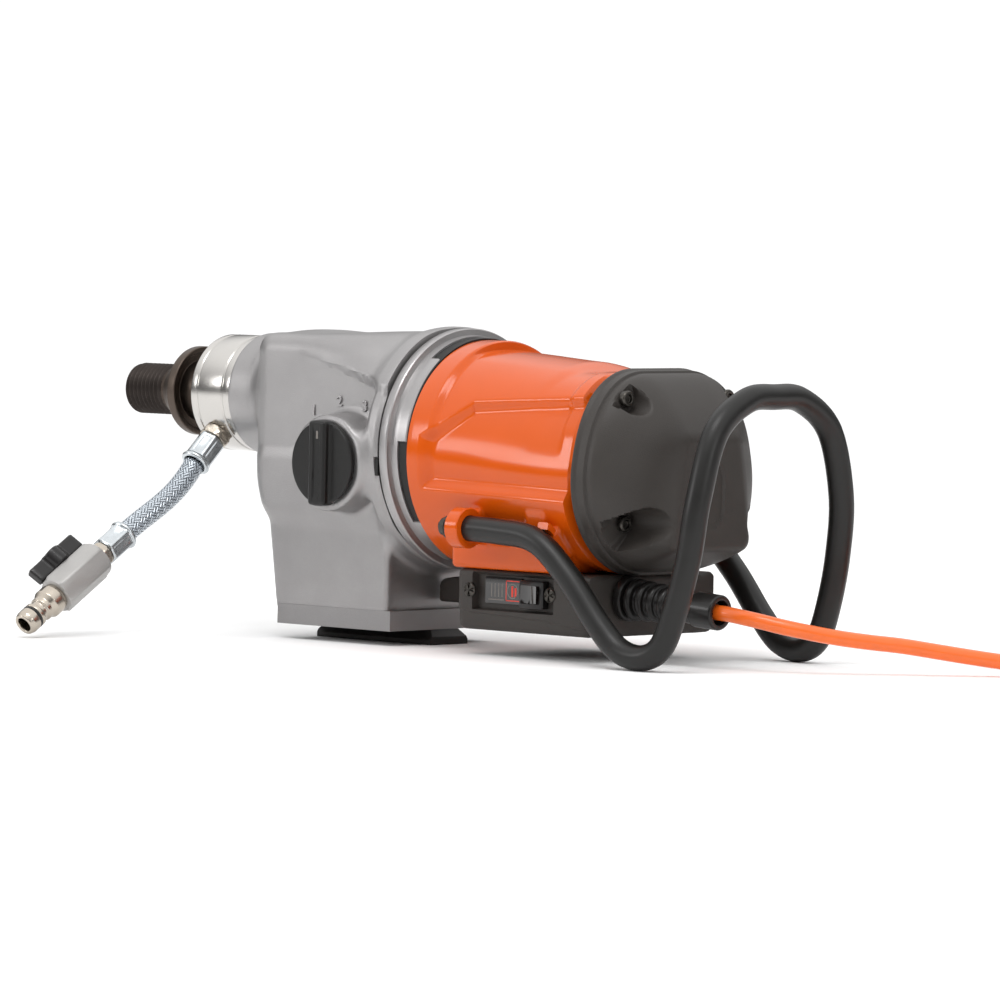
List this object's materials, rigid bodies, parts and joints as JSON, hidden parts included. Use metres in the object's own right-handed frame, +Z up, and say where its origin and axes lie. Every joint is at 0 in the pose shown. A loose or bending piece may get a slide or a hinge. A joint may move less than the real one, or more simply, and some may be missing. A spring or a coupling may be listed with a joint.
{
  "type": "core drill motor",
  "caption": "Rig-mounted core drill motor with a three-speed gearbox, threaded hollow spindle, water collar with hose and ball valve, wedge base plate and tube handle.",
  "frame": {"origin": "middle of the wedge plate's underside, on the surface that the unit stands on", "axes": "+X along the spindle in the drilling direction, +Y to the side with the gear knob and the water hose, +Z up"},
  "size_m": [0.7157, 0.4489, 0.191],
  "materials": {
    "cast_aluminium": "satin cast",
    "machined_aluminium": "turned",
    "bright_steel": "polished",
    "dark_steel": "phosphated",
    "gear_steel": "ground",
    "black_steel": "black oxide",
    "orange_plastic": "gloss",
    "dark_plastic": "fine grain",
    "black_plastic": "satin",
    "display": "gloss",
    "black_rubber": "satin",
    "orange_cable": "satin",
    "copper": "enamelled",
    "brass": "turned",
    "nickel_brass": "nickel plated",
    "zinc_steel": "galvanised",
    "braided_hose": "braid under clear sleeve",
    "carbon": "graphite",
    "circuit_board": "solder mask",
    "electrical_steel": "laminated"
  },
  "bodies": {
    "root": {"gear_housing": "cast_aluminium", "bearing_plate": "cast_aluminium", "motor_flange": "cast_aluminium", "flange_bolts": "black_steel", "water_collar": "machined_aluminium", "shaft_seals": "black_rubber", "spacer_plate": "machined_aluminium", "wedge_plate": "black_steel", "base_bolts": "black_steel", "motor_housing": "orange_plastic", "rear_cap": "dark_plastic", "cap_screws": "bright_steel", "stator_core": "electrical_steel", "field_windings": "copper", "motor_bearings": "bright_steel", "brush_holders": "brass", "carbon_brushes": "carbon", "selector_rail": "bright_steel", "gear_bearings": "bright_steel", "switch_box": "dark_plastic", "switch_panel": "dark_plastic", "panel_screws": "zinc_steel", "switch_body": "black_plastic", "display_window": "display", "control_board": "circuit_board", "handle_tube": "black_rubber", "handle_end_bolts": "zinc_steel", "cable_gland": "black_rubber", "power_cord": "orange_cable", "cord_coil": "orange_cable", "cord_tail": "orange_cable", "plug_body": "black_rubber", "plug_pins": "nickel_brass", "water_nipple": "nickel_brass", "hose": "braided_hose", "hose_ferrules": "zinc_steel", "valve_body": "machined_aluminium", "coupling_nipple": "nickel_brass", "o_ring": "black_rubber"},
    "rotor": {"rotor_shaft": "gear_steel", "armature_core": "electrical_steel", "commutator": "copper", "armature_windings": "copper", "cooling_fan": "black_plastic"},
    "countershaft": {"countershaft": "gear_steel"},
    "idle_gear_1": {"idle_gear_1": "gear_steel"},
    "idle_gear_2": {"idle_gear_2": "gear_steel"},
    "idle_gear_3": {"idle_gear_3": "gear_steel"},
    "spindle": {"spindle": "dark_steel", "spindle_gears": "gear_steel"},
    "gear_knob": {"gear_knob": "black_plastic", "selector_crank": "gear_steel"},
    "shift_fork": {"shift_fork": "brass"},
    "draw_key": {"draw_key": "gear_steel", "shift_collar": "gear_steel"},
    "power_rocker": {"power_rocker": "black_plastic"},
    "valve_lever": {"valve_ball": "bright_steel", "valve_lever": "black_plastic"}
  },
  "joints": [
    {"name": "rotor_spin", "type": "hinge", "parent": "root", "child": "rotor", "pos_m": [0, 0, 0.1185], "axis": [1, 0, 0], "continuous": true},
    {"name": "countershaft_spin", "type": "hinge", "parent": "root", "child": "countershaft", "pos_m": [0, 0, 0.0969], "axis": [1, 0, 0], "continuous": true},
    {"name": "idle_gear_1_spin", "type": "hinge", "parent": "root", "child": "idle_gear_1", "pos_m": [0, 0, 0.0969], "axis": [1, 0, 0], "continuous": true},
    {"name": "idle_gear_2_spin", "type": "hinge", "parent": "root", "child": "idle_gear_2", "pos_m": [0, 0, 0.0969], "axis": [1, 0, 0], "continuous": true},
    {"name": "idle_gear_3_spin", "type": "hinge", "parent": "root", "child": "idle_gear_3", "pos_m": [0, 0, 0.0969], "axis": [1, 0, 0], "continuous": true},
    {"name": "spindle_spin", "type": "hinge", "parent": "root", "child": "spindle", "pos_m": [0, 0, 0.1459], "axis": [1, 0, 0], "continuous": true},
    {"name": "gear_knob_turn", "type": "hinge", "parent": "root", "child": "gear_knob", "pos_m": [-0.019, 0.07, 0.1095], "axis": [0, 1, 0], "range_deg": [-45, 45]},
    {"name": "shift_fork_slide", "type": "slide", "parent": "root", "child": "shift_fork", "axis": [1, 0, 0], "range_m": [-0.009, 0.009]},
    {"name": "draw_key_slide", "type": "slide", "parent": "countershaft", "child": "draw_key", "axis": [1, 0, 0], "range_m": [-0.009, 0.009]},
    {"name": "power_rocker_tilt", "type": "hinge", "parent": "root", "child": "power_rocker", "pos_m": [-0.1715, 0.0565, 0.038], "axis": [0, 0, 1], "range_deg": [0, 16]},
    {"name": "valve_lever_turn", "type": "hinge", "parent": "root", "child": "valve_lever", "pos_m": [0.124, 0.14289, 0.03539], "axis": [0.7071, 0.382, 0.595], "range_deg": [0, 90]}
  ],
  "couplings": [
    {"joint": "countershaft_spin", "follows": "rotor_spin", "ratio": -0.2},
    {"joint": "idle_gear_1_spin", "follows": "rotor_spin", "ratio": -0.30938},
    {"joint": "idle_gear_2_spin", "follows": "rotor_spin", "ratio": -0.2},
    {"joint": "idle_gear_3_spin", "follows": "rotor_spin", "ratio": -0.13269},
    {"joint": "spindle_spin", "follows": "rotor_spin", "ratio": 0.15},
    {"joint": "shift_fork_slide", "follows": "gear_knob_turn", "m_per_rad": 0.011459},
    {"joint": "draw_key_slide", "follows": "gear_knob_turn", "m_per_rad": 0.011459}
  ]
}
